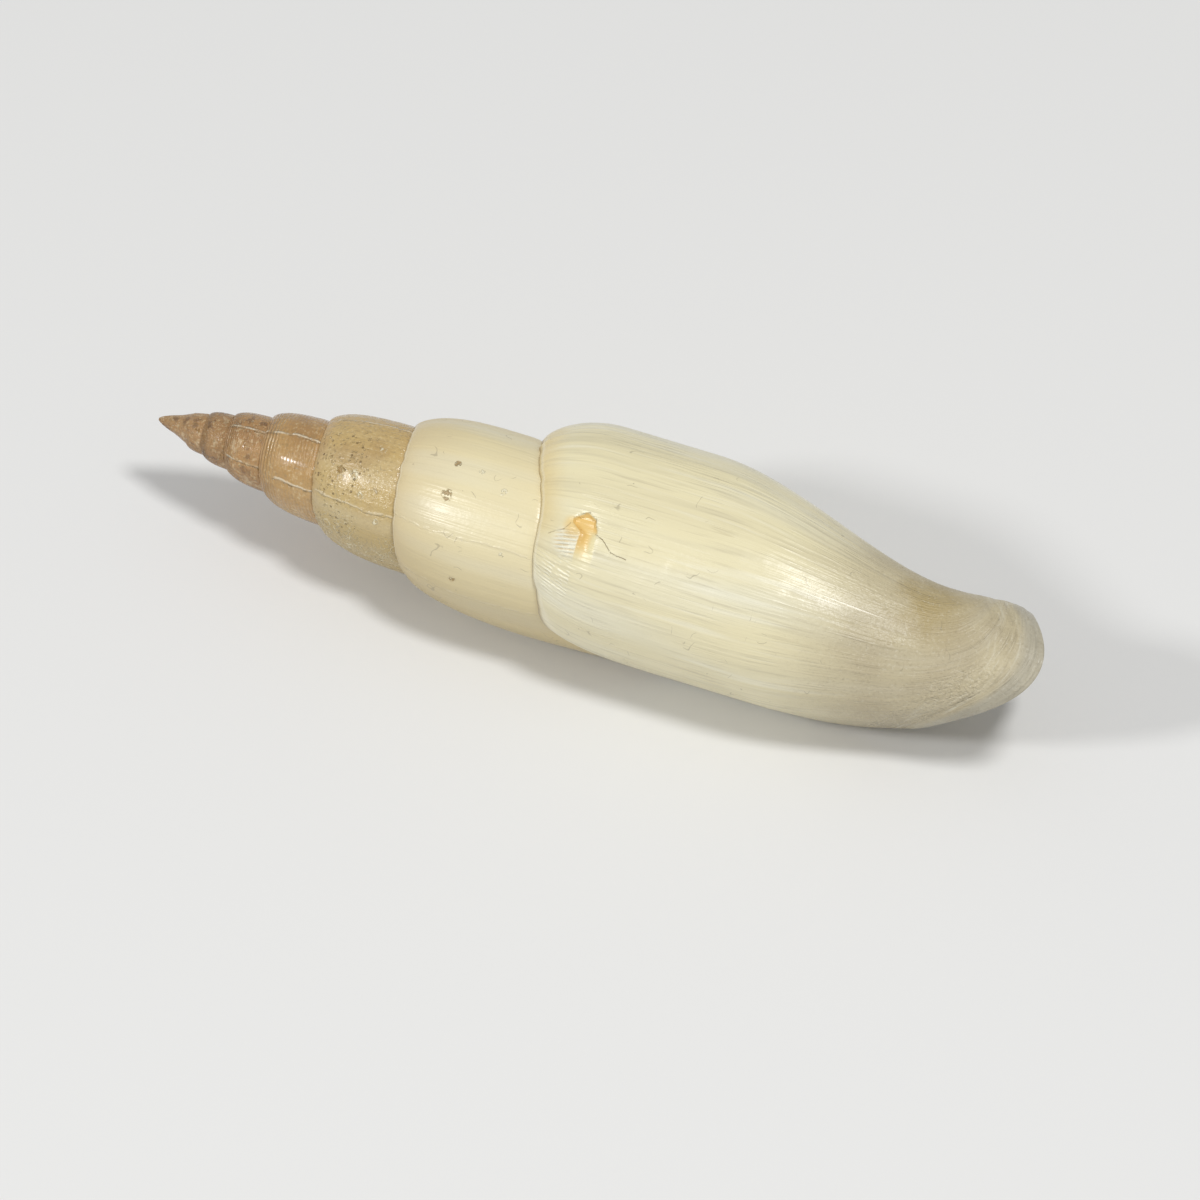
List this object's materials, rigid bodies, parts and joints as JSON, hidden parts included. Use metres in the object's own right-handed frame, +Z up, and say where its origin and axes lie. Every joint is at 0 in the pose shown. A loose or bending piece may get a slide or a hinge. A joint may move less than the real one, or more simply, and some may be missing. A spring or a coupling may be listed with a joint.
{
  "type": "miter shell",
  "caption": "Long pointed spindle-shaped sea shell with a slender stepped spire, a swollen last whorl and a narrow slit mouth, lying on its lip.",
  "frame": {"origin": "centre of the bounding box in plan, at the surface the shell lies on", "axes": "+X along the coiling axis from the apex towards the siphonal end, +Z up; the lip is on the -Y side, underneath"},
  "size_m": [0.1122, 0.0274, 0.0264],
  "materials": {
    "shell": "gloss"
  },
  "bodies": {
    "root": {"shell": "shell"}
  },
  "joints": []
}
